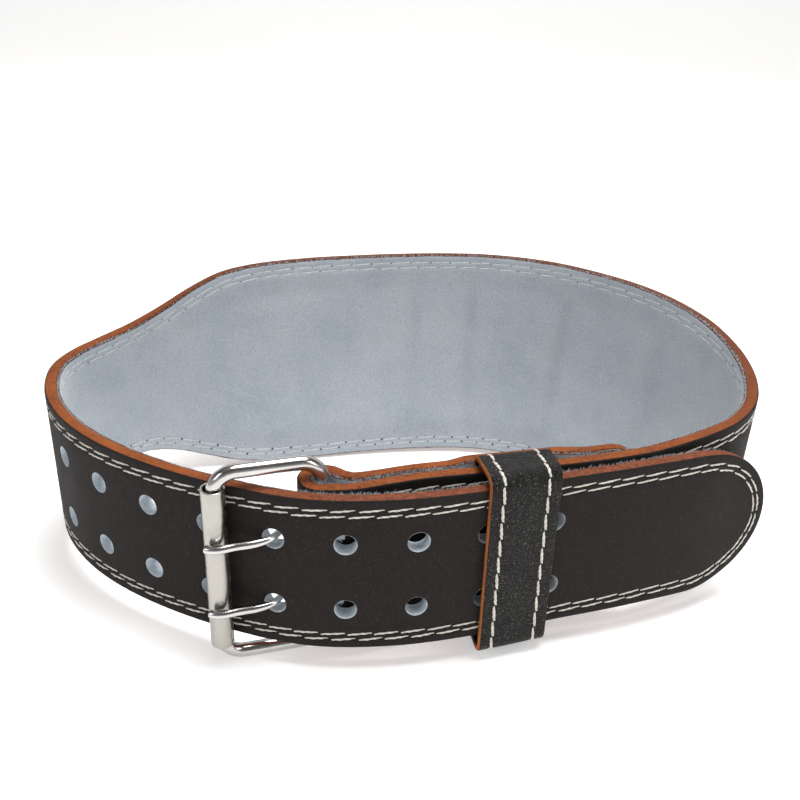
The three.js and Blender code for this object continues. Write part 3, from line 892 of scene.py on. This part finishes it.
def keeper_point(corner, angle, offset, along):
    """A point of the keeper at a corner of its section, that angle round it and that deep in.

    along is in millimetres across its width, from its edge nearer the strap's tip.
    """
    distance = KEEPER_FROM_TIP + along
    point, normal, _ = tongue.at(distance)
    front = -(CLEARANCE + KEEPER_LEATHER)
    back = lower_strap_depth(distance) + THICK + CLEARANCE + KEEPER_LEATHER
    middle, reach = (front + back) / 2, (back - front) / 2 - KEEPER_CORNER
    radius = KEEPER_CORNER - offset
    depth = middle + (reach if corner in (0, 3) else -reach) + math.cos(angle) * radius
    high = (KEEPER_HEIGHT / 2 - KEEPER_CORNER) * (1 if corner < 2 else -1) + math.sin(angle) * radius
    behind = (depth - front) / (back - front)
    closer = 1 - KEEPER_SLOPE * behind / (KEEPER_HEIGHT / 2)
    skew = behind * np.interp(along, (0, KEEPER_WIDTH), KEEPER_SKEW[::-1])
    x, y = point - normal * depth + left_of(normal) * skew
    return Vector((x, y, high * closer - KEEPER_DROP))


def keeper_turns():
    """Stations round the keeper: corner, angle, and share of the way to the next corner."""
    turns = []
    for corner in range(4):
        for i in range(KEEPER_CORNER_STEPS + 1):
            turns.append((corner, math.pi / 2 * (corner + i / KEEPER_CORNER_STEPS), 0))
        for i in range(1, KEEPER_SIDE_STEPS):
            turns.append((corner, math.pi / 2 * (corner + 1), i / KEEPER_SIDE_STEPS))
    return turns


def keeper_at(turn, offset, along):
    corner, angle, share = turn
    here = keeper_point(corner, angle, offset, along)
    if share == 0:
        return here
    there = keeper_point((corner + 1) % 4, angle, offset, along)
    return here.lerp(there, share)


def build_keeper(materials):
    """The keeper loop: pebbled black leather with orange cut edges."""
    turns = keeper_turns()
    left = [(0, KEEPER_LEATHER - KEEPER_ROUND), (-EDGE_CROWN / 2, KEEPER_LEATHER / 2), (0, KEEPER_ROUND)]
    face = []
    for along in np.linspace(KEEPER_ROUND, KEEPER_WIDTH - KEEPER_ROUND, KEEPER_COLUMNS):
        off = min(abs(along - KEEPER_SEAM), abs(KEEPER_WIDTH - KEEPER_SEAM - along))
        face.append((along, KEEPER_GROOVE * math.exp(-(off / KEEPER_GROOVE_WIDTH) ** 2)))
    right = [(KEEPER_WIDTH - along, depth) for along, depth in left[::-1]]
    back = [(along, KEEPER_LEATHER) for along, _ in face[::-1]]
    section = left + face + right + back
    vertices = [keeper_at(turn, depth, along) for turn in turns for along, depth in section]
    faces = ring_faces(len(turns), len(section), closed=True)
    face_end = len(left) + len(face)
    rim = {0, 1, face_end - 1, face_end, face_end + 1, len(section) - 1}
    indices = [int(i % len(section) in rim) for i in range(len(faces))]
    piece = new_piece("keeper", vertices, faces, materials, indices)
    float_layer(piece, "along", [PLAIN_TAN] * len(vertices))
    tidy_mesh(piece)
    return piece


def row_at(length, lengths, rows):
    """The row at a length between rows that have those lengths."""
    return Vector([np.interp(length, lengths, rows[:, k]) for k in range(3)])


def keeper_stitches(material):
    """Two rows of thick stitches round the keeper."""
    turns = keeper_turns()
    vertices, faces = [], []
    for seam_index, along in enumerate((KEEPER_SEAM, KEEPER_WIDTH - KEEPER_SEAM)):
        points = [keeper_at(turn, KEEPER_SUNK, along) for turn in turns]
        outs = [points[i] - keeper_at(turn, KEEPER_SUNK + 1, along) for i, turn in enumerate(turns)]
        lengths = np.concatenate([[0], np.cumsum([(b - a).length for a, b in zip(points, points[1:])])])
        flat = np.array([list(p) for p in points])
        out = np.array([list(o) for o in outs])

        def place(length, off, lift):
            at = row_at(length, lengths, flat)
            up = row_at(length, lengths, out).normalized()
            ahead = row_at(length + 1, lengths, flat) - at
            across = up.cross(ahead).normalized() if ahead.length else Vector()
            return at + up * lift + across * off

        start = KEEPER_FIRST + KEEPER_STAGGER * seam_index
        while start + KEEPER_PITCH < lengths[-1]:
            part = stitch(place, start, KEEPER_STITCH, KEEPER_SLANT, KEEPER_THREAD)
            add_part(vertices, faces, part)
            start += KEEPER_PITCH
    return new_piece("keeper_stitches", vertices, faces, [material])


def build_frame(material):
    """The buckle's closed wire frame."""
    across = roller_bar - heel_bar
    width, height = np.linalg.norm(across) / 2, (BUCKLE_HEIGHT - WIRE) / 2
    direction = across / np.linalg.norm(across)
    middle = (heel_bar + roller_bar) / 2
    path = []
    for corner, (x, z) in enumerate(((1, 1), (-1, 1), (-1, -1), (1, -1))):
        for i in range(FRAME_STEPS + 1):
            angle = math.pi / 2 * (corner + i / FRAME_STEPS)
            u = x * (width - BUCKLE_CORNER) + BUCKLE_CORNER * math.cos(angle)
            v = z * (height - BUCKLE_CORNER) + BUCKLE_CORNER * math.sin(angle)
            path.append((*(middle + direction * u), v - BUCKLE_DROP))
    vertices, faces = tube(path, [WIRE / 2] * len(path), sides=WIRE_SIDES, closed=True)
    return new_piece("buckle_wire", vertices, faces, [material])


def build_roller(material):
    """The roller: sheet metal rolled into a tube, whose long edges don't quite meet."""
    vertices = []
    outer = ROLLER_DIAMETER / 2
    inner = outer - ROLLER_WALL
    half = ROLLER_LENGTH / 2
    ends = [half - ROLLER_ROUND * (1 - math.cos(a)) for a in (0, math.pi / 4, math.pi / 2)]
    middles = np.linspace(-ends[-1], ends[-1], ROLLER_ROWS)[1:-1]
    heights = [-h for h in ends] + list(middles) + ends[::-1]
    for height in heights:
        within = max(ROLLER_ROUND - half + abs(height), 0)
        eased = ROLLER_ROUND - math.sqrt(max(ROLLER_ROUND ** 2 - within ** 2, 0))
        lip = ROLLER_LIP * (0.5 + noise.noise(Vector((height / LIP_WAVE, 0, 0))))
        ring = []
        for i in range(ROLLER_TURNS + 1):
            share = i / ROLLER_TURNS
            angle = ROLLER_SEAM + ROLLER_GAP / 2 + (2 * math.pi - ROLLER_GAP) * share
            curl = lip * (math.exp(-share * LIP_FADE) + math.exp(-(1 - share) * LIP_FADE))
            ring.append((angle, outer - eased - curl))
        ring += [(angle, inner + eased) for angle, _ in ring[::-1]]
        for angle, radius in ring:
            x, y = roller_bar + radius * np.array([math.cos(angle), math.sin(angle)])
            vertices.append((x, y, height - BUCKLE_DROP))
    sides = len(vertices) // len(heights)
    faces = ring_faces(len(heights), sides)[:-2]
    for base, flip in ((0, 1), ((len(heights) - 1) * sides, -1)):
        for i in range(ROLLER_TURNS):
            quad = (base + i, base + i + 1, base + sides - 2 - i, base + sides - 1 - i)
            faces.append(quad[::flip])
    piece = new_piece("roller_tube", vertices, faces, [material], sharp=ROLLER_SHARP)
    tidy_mesh(piece)
    return piece


def build_prong(name, height, material):
    """A prong: an eye round the heel bar, out through the hole, and over onto the roller."""
    span = np.linalg.norm(roller_bar - heel_bar)
    along = (roller_bar - heel_bar) / span
    outward = left_of(along)
    seats = {
        "heelBar": (heel_bar, WIRE / 2 + CLEARANCE + PRONG / 2),
        "holeInside": (under_tongue(PRONG_HOLE, THICK), PRONG),
        "holeOutside": (under_tongue(PRONG_HOLE, 0), PRONG),
        "roller": (roller_bar, ROLLER_DIAMETER / 2 + CLEARANCE + PRONG / 2),
    }
    turned = (360 - EYE_OPENING) / (EYE_POINTS - 1)
    turns = [math.radians(EYE_START + turned * i) for i in range(EYE_POINTS)]
    line = [("heelBar", math.cos(turn), math.sin(turn)) for turn in turns] + PRONG_LINE
    points = []
    for seat, share_along, share_outward in line:
        centre, size = seats[seat]
        point = centre + along * share_along * size + outward * share_outward * size
        reach = (point - heel_bar) @ along / span
        points.append((*point, height - PRONG_SAG * smooth(reach, SAG_FROM, SAG_TO)))
    path = catmull_rom(points, PRONG_SAMPLES)
    radii = []
    for x, y, _ in path:
        reach = (np.array([x, y]) - heel_bar) @ along / span
        thin = smooth(reach, *NECK_IN) * (1 - NECK_REGAINED * smooth(reach, *NECK_OUT))
        radii.append((PRONG - (PRONG - PRONG_POINT) * thin) / 2)
    for i in range(PRONG_TIP):
        rounded = math.sqrt(max(1 - (1 - i / PRONG_TIP) ** 2, PRONG_BLUNT))
        radii[i] *= rounded
        radii[-1 - i] *= rounded
    vertices, faces = tube(path, radii, sides=20)
    return new_piece(name, vertices, faces, [material])


def grey(value):
    return (value, value, value)


def set_stops(ramp, stops):
    """Gives a colour ramp its stops, each a place from 0 to 1 and a colour."""
    while len(ramp.elements) < len(stops):
        ramp.elements.new(0.5)
    for element, (at, colour) in zip(ramp.elements, stops):
        element.position = at
        element.color = (*colour, 1)


class Nodes:
    """A new node material, with short ways to add nodes to its tree."""

    def __init__(self, name):
        self.material = bpy.data.materials.new(name)
        self.material.use_nodes = True
        self.tree = self.material.node_tree
        self.shader = self.tree.nodes["Principled BSDF"]

    def add(self, kind, inputs=(), **settings):
        node = self.tree.nodes.new(kind)
        for key, value in settings.items():
            setattr(node, key, value)
        for key, value in dict(inputs).items():
            if isinstance(value, bpy.types.NodeSocket):
                self.tree.links.new(value, node.inputs[key])
            else:
                node.inputs[key].default_value = value
        return node

    def link(self, output, name):
        self.tree.links.new(output, self.shader.inputs[name])

    def set(self, **values):
        for key, value in values.items():
            self.shader.inputs[key.replace("_", " ")].default_value = value

    def place(self):
        return self.add("ShaderNodeTexCoord").outputs["Object"]

    def layer(self, name):
        return self.add("ShaderNodeAttribute", attribute_name=name).outputs["Fac"]

    def noise(self, scale, detail=4, roughness=0.55, stretch=None):
        where = self.place()
        if stretch:
            where = self.add("ShaderNodeMapping", {"Vector": where, "Scale": stretch}).outputs["Vector"]
        inputs = {"Vector": where, "Scale": scale, "Detail": detail, "Roughness": roughness}
        return self.add("ShaderNodeTexNoise", inputs).outputs["Fac"]

    def ramp(self, value, stops):
        node = self.add("ShaderNodeValToRGB", {"Fac": value})
        set_stops(node.color_ramp, stops)
        return node.outputs["Color"]

    def mix(self, share, a, b, blend="MIX"):
        node = self.add("ShaderNodeMix", data_type="RGBA", blend_type=blend)
        for socket, value in ((0, share), (6, a), (7, b)):
            if isinstance(value, bpy.types.NodeSocket):
                self.tree.links.new(value, node.inputs[socket])
            else:
                node.inputs[socket].default_value = (*value, 1) if isinstance(value, tuple) else value
        return node.outputs[2]

    def range(self, value, from_low, from_high, to_low, to_high):
        inputs = {0: value, 1: from_low, 2: from_high, 3: to_low, 4: to_high}
        return self.add("ShaderNodeMapRange", inputs).outputs[0]

    def math(self, operation, a, b):
        return self.add("ShaderNodeMath", {0: a, 1: b}, operation=operation).outputs[0]

    def bump(self, height, distance, strength=1.0, normal=None):
        inputs = {"Height": height, "Distance": distance, "Strength": strength}
        node = self.add("ShaderNodeBump", inputs)
        if normal:
            self.tree.links.new(normal, node.inputs["Normal"])
        return node.outputs["Normal"]


def smooth_black_leather():
    """Matt black belt leather with fine pores, faint mottling and a few pale specks."""
    n = Nodes("black_leather")
    mottle = n.noise(55, 5, 0.6)
    pores = n.noise(1900, 3, 0.6)
    base = n.ramp(mottle, [(0.3, (0.0094, 0.0074, 0.0066)), (0.7, (0.0160, 0.0126, 0.0112))])
    specks = n.ramp(n.noise(1500, 3, 0.6), [(0.58, grey(0)), (0.74, grey(0.5))])
    n.link(n.mix(specks, base, (0.080, 0.072, 0.064)), "Base Color")
    n.link(n.range(mottle, 0.3, 0.7, 0.66, 0.80), "Roughness")
    fine = n.bump(pores, 0.0002, 0.9)
    n.link(n.bump(n.noise(330, 4, 0.6), 0.0003, 0.6, fine), "Normal")
    n.set(Specular_IOR_Level=0.17)
    return n.material


def pebbled_black_leather():
    """The keeper's leather: a fine raised pebble grain, with painted glints where it catches the light.
    """
    n = Nodes("pebbled_leather")
    cells = n.add("ShaderNodeTexVoronoi", {"Vector": n.place(), "Scale": 1500.0, "Randomness": 1.0})
    pebble = n.range(cells.outputs["Distance"], 0.05, 0.75, 1, 0)
    base = n.ramp(pebble, [(0.2, (0.0010, 0.0008, 0.0007)), (0.9, (0.0052, 0.0042, 0.0036))])
    # Painted glints: pale specks in the colour stand in for light caught by the grain.
    painted_glints = n.ramp(n.noise(1800, 2, 0.6), [(0.62, grey(0)), (0.70, grey(0.9))])
    n.link(n.mix(painted_glints, base, (0.22, 0.20, 0.16)), "Base Color")
    n.link(n.range(n.noise(240, 3, 0.6), 0.3, 0.7, 0.42, 0.56), "Roughness")
    n.link(n.bump(pebble, 0.0003, 1.0), "Normal")
    n.set(Specular_IOR_Level=0.22)
    return n.material


def cut_edge(name, dark, light):
    """A burnished edge: layered fibres along it, and darker dye in the hollows.

    It is redder on the tongue, and painted shade darkens it along the back. Places along the strap are in
    metres.
    """
    n = Nodes(name)
    fibres = n.noise(620, 6, 0.75, stretch=(1, 1, 3))
    patches = n.noise(60, 3, 0.5)
    dye = n.ramp(fibres, [(0.36, dark), (0.6, light)])
    worn = tuple(min(1, c * 1.3) for c in light)
    burnished = n.mix(n.ramp(patches, [(0.45, grey(0)), (0.75, grey(0.6))]), dye, worn)
    along = n.layer("along")
    tongue_share = n.range(along, ROLLER / 1000 + 0.02, ROLLER / 1000 - 0.03, 0, 0.75)
    reddish = n.ramp(fibres, [(0.36, (0.075, 0.020, 0.010)), (0.6, (0.240, 0.072, 0.036))])
    redder = n.mix(tongue_share, burnished, reddish)
    # Painted shade: along the back the edge is darkened towards a dark brown.
    back_shade_share = n.math("MULTIPLY", n.range(along, 0.40, 0.46, 0, 0.8), n.range(along, 0.80, 0.70, 0, 1))
    n.link(n.mix(back_shade_share, redder, (0.120, 0.036, 0.016)), "Base Color")
    n.link(n.range(fibres, 0.3, 0.7, 0.58, 0.74), "Roughness")
    n.link(n.bump(fibres, 0.0005, 0.9), "Normal")
    n.set(Specular_IOR_Level=0.2)
    return n.material


def suede():
    """Blue-grey suede: a soft mottled nap, brushed lighter and darker in patches, with painted shade in
    its creases and in the dip inside its seams.
    """
    n = Nodes("suede")
    patches = n.noise(26, 4, 0.55)
    cloudy = n.noise(150, 4, 0.6)
    fibres = n.noise(1900, 5, 0.8)
    broad = n.ramp(patches, [(0.3, (0.350, 0.400, 0.448)), (0.72, (0.462, 0.502, 0.545))])
    cloud = n.mix(n.range(cloudy, 0.3, 0.7, 0.0, 0.4), broad, (0.490, 0.506, 0.530))
    nap = n.ramp(fibres, [(0.34, grey(0.66)), (0.66, grey(1.18))])
    # Painted shade: the shade layer darkens the lining's creases and the dip inside its seams towards
    # this dark blue-grey.
    painted_shade_cloud = n.mix(n.layer("shade"), cloud, (0.215, 0.225, 0.260))
    n.link(n.mix(1.0, painted_shade_cloud, nap, "MULTIPLY"), "Base Color")
    n.link(n.bump(fibres, 0.0003, 0.9), "Normal")
    n.set(Roughness=0.95, Specular_IOR_Level=0.12, Sheen_Weight=0.35, Sheen_Roughness=0.45)
    return n.material


def hole_core():
    """The pale grey fibres in the punched holes and loose along the lining's cut edges."""
    n = Nodes("leather_core")
    fibres = n.noise(1200, 5, 0.7)
    n.link(n.ramp(fibres, [(0.3, (0.44, 0.50, 0.55)), (0.7, (0.66, 0.71, 0.75))]), "Base Color")
    n.link(n.bump(fibres, 0.0003, 0.8), "Normal")
    n.set(Roughness=0.95, Specular_IOR_Level=0.1)
    return n.material


def thread_material(name, colour):
    """Twisted sewing thread, a little darker where its strands meet."""
    n = Nodes(name)
    strands = n.noise(900, 3, 0.6)
    darker = tuple(c * 0.72 for c in colour)
    n.link(n.ramp(strands, [(0.32, darker), (0.6, colour)]), "Base Color")
    n.link(n.bump(strands, 0.0001, 0.5), "Normal")
    n.set(Roughness=0.75, Specular_IOR_Level=0.25, Sheen_Weight=0.2)
    return n.material


def painted_pit_shade():
    """Painted shade for the lining's needle holes: a dark colour for the shade inside them."""
    n = Nodes("needle_pit_shade")
    n.link(n.ramp(n.noise(700), [(0.3, (0.05, 0.06, 0.08)), (0.7, (0.12, 0.14, 0.17))]), "Base Color")
    n.set(Roughness=1.0, Specular_IOR_Level=0.0)
    return n.material


def plated(name, colour, low, high, scratch, stretch):
    """Nickel plate with fine scratches and smudges; low and high are its roughness."""
    n = Nodes(name)
    smudges = n.noise(120, 4, 0.6)
    scratches = n.noise(650, 5, 0.75, stretch=stretch)
    dull = tuple(c * 0.86 for c in colour)
    n.link(n.ramp(smudges, [(0.3, dull), (0.6, colour)]), "Base Color")
    n.link(n.range(smudges, 0.3, 0.75, low, high), "Roughness")
    n.link(n.bump(scratches, 0.00006, scratch), "Normal")
    n.set(Metallic=1.0)
    return n.material


def build_stage():
    """A plain pale floor that runs up into a pale backdrop."""
    width, near, far, bend, top, steps = 4.0, -2.0, 1.6, 0.8, 3.0, 12
    profile = [(near, 0.0), (far, 0.0)]
    for i in range(1, steps + 1):
        angle = math.pi / 2 * i / steps
        profile.append((far + bend * math.sin(angle), bend * (1 - math.cos(angle))))
    profile.append((far + bend, top))
    vertices = [(side * width, y, z) for y, z in profile for side in (-1, 1)]
    faces = [(2 * i, 2 * i + 1, 2 * i + 3, 2 * i + 2) for i in range(len(profile) - 1)]
    mesh = bpy.data.meshes.new("floor")
    mesh.from_pydata(vertices, [], faces)
    mesh.polygons.foreach_set("use_smooth", [True] * len(mesh.polygons))
    n = Nodes("pale_floor")
    n.link(n.ramp(n.noise(2), [(0.3, (0.88, 0.875, 0.87)), (0.7, (0.90, 0.895, 0.89))]), "Base Color")
    n.set(Roughness=0.9, Specular_IOR_Level=0.1)
    n.set(Emission_Color=(1, 0.99, 0.985, 1), Emission_Strength=0.38)
    mesh.materials.append(n.material)
    linked_object("floor", mesh)


def area_light(name, place, size, watts):
    light = bpy.data.lights.new(name, "AREA")
    light.shape = "RECTANGLE"
    light.size, light.size_y = size
    light.energy = watts
    lamp = linked_object(name, light)
    lamp.location = place
    lamp.rotation_euler = (Vector(LAMP_TARGET) - Vector(place)).to_track_quat("-Z", "Y").to_euler()


def build_lights():
    """A big overhead panel, a lamp from each side in front, and a sky brightest at the horizon."""
    for lamp in LAMPS:
        area_light(*lamp)
    world = bpy.data.worlds.new("studio")
    bpy.context.scene.world = world
    world.use_nodes = True
    tree = world.node_tree
    place = tree.nodes.new("ShaderNodeTexCoord")
    split = tree.nodes.new("ShaderNodeSeparateXYZ")
    ramp = tree.nodes.new("ShaderNodeValToRGB")
    tree.links.new(place.outputs["Generated"], split.inputs[0])
    tree.links.new(split.outputs["Z"], ramp.inputs["Fac"])
    tree.links.new(ramp.outputs["Color"], tree.nodes["Background"].inputs["Color"])
    tree.nodes["Background"].inputs["Strength"].default_value = SKY_STRENGTH
    set_stops(ramp.color_ramp, [(height, grey(brightness)) for height, brightness in SKY])


def build_camera():
    """The photo's camera, carried with the belt as the belt is turned onto the floor."""
    data = bpy.data.cameras.new("camera")
    data.lens = CAMERA_LENS
    data.sensor_width = 36
    data.clip_start = 0.01
    camera = linked_object("camera", data)
    pitch, roll = CAMERA_PITCH, CAMERA_ROLL
    look = Vector((0, math.cos(pitch), -math.sin(pitch)))
    level_up = Vector((0, math.sin(pitch), math.cos(pitch)))
    right = Vector((1, 0, 0)) * math.cos(roll) + level_up * math.sin(roll)
    up = level_up * math.cos(roll) - Vector((1, 0, 0)) * math.sin(roll)
    turn = TO_FRAME.to_3x3().normalized()
    axes = Matrix((turn @ right, turn @ up, turn @ -look)).transposed().to_4x4()
    where = TO_FRAME @ Vector((0, -CAMERA_BACK, CAMERA_UP))
    camera.matrix_world = Matrix.Translation(where) @ axes
    bpy.context.scene.camera = camera


def build_belt():
    """Makes every piece, hides the CAD parts that it stands in for, and hangs it on the body that it
    rides on.
    """
    core = hole_core()
    black = smooth_black_leather()
    edge = cut_edge("tan_edge", (0.105, 0.022, 0.005), (0.275, 0.072, 0.013))
    keeper_edge = cut_edge("keeper_edge", (0.18, 0.045, 0.011), (0.38, 0.115, 0.024))
    nap = suede()
    lining_edge = cut_edge("lining_edge", (0.030, 0.012, 0.008), (0.130, 0.055, 0.030))
    white = thread_material("white_thread", (0.74, 0.70, 0.63))
    pale = thread_material("pale_thread", (0.62, 0.65, 0.66))
    polished = plated("polished_nickel", (0.58, 0.565, 0.55), 0.13, 0.24, 0.3, (1, 1, 1))
    satin = plated("satin_nickel", (0.44, 0.425, 0.39), 0.22, 0.34, 0.6, (1, 1, 0.15))

    seam_depth = LEATHER + CLEARANCE / 2
    leather = strap_layer(
        "leather", 0, seam_depth - LAYER_SEAM / 2, 0, outer_relief, no_relief, [black, edge])
    lining = strap_layer(
        "lining", seam_depth + LAYER_SEAM / 2, THICK, LINING_INSET,
        no_relief, lining_relief, [nap, lining_edge], ragged=LINING_FRAY, shade=lining_shade)
    cutter = cutters(core)
    cut(leather, cutter)
    cut(lining, cutter)
    bpy.data.objects.remove(cutter)
    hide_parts("belt_leather")
    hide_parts("suede_lining")

    keeper = build_keeper([pebbled_black_leather(), keeper_edge])
    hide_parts("keeper_loop")
    wire = build_frame(polished)
    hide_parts("buckle_frame")
    roller = build_roller(satin)
    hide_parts("buckle_roller")
    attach(roller, "roller")
    pieces = [(leather, "black_leather"), (lining, "suede"), (keeper, "keeper_leather"), (wire, "nickel")]
    for name, height in zip(("prong_upper", "prong_lower"), prong_heights):
        prong = build_prong("bent_" + name, height, polished)
        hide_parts(name)
        pieces.append((prong, "nickel"))

    outside, inside, pits = sew_strap()
    pieces.append((new_piece("stitches_outside", *outside, [white]), "thread"))
    pieces.append((new_piece("stitches_lining", *inside, [pale]), "thread"))
    pieces.append((keeper_stitches(white), "thread"))
    # Painted shade in the lining's needle holes, as dark beads.
    pieces.append((needle_hole_shades(pits, painted_pit_shade()), "suede"))
    pieces.append((suede_fuzz(core), "suede"))
    for piece, slot in pieces:
        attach(piece, "belt")


build_camera()
build_stage()
build_lights()
build_belt()
bpy.context.scene.view_settings.view_transform = "Standard"
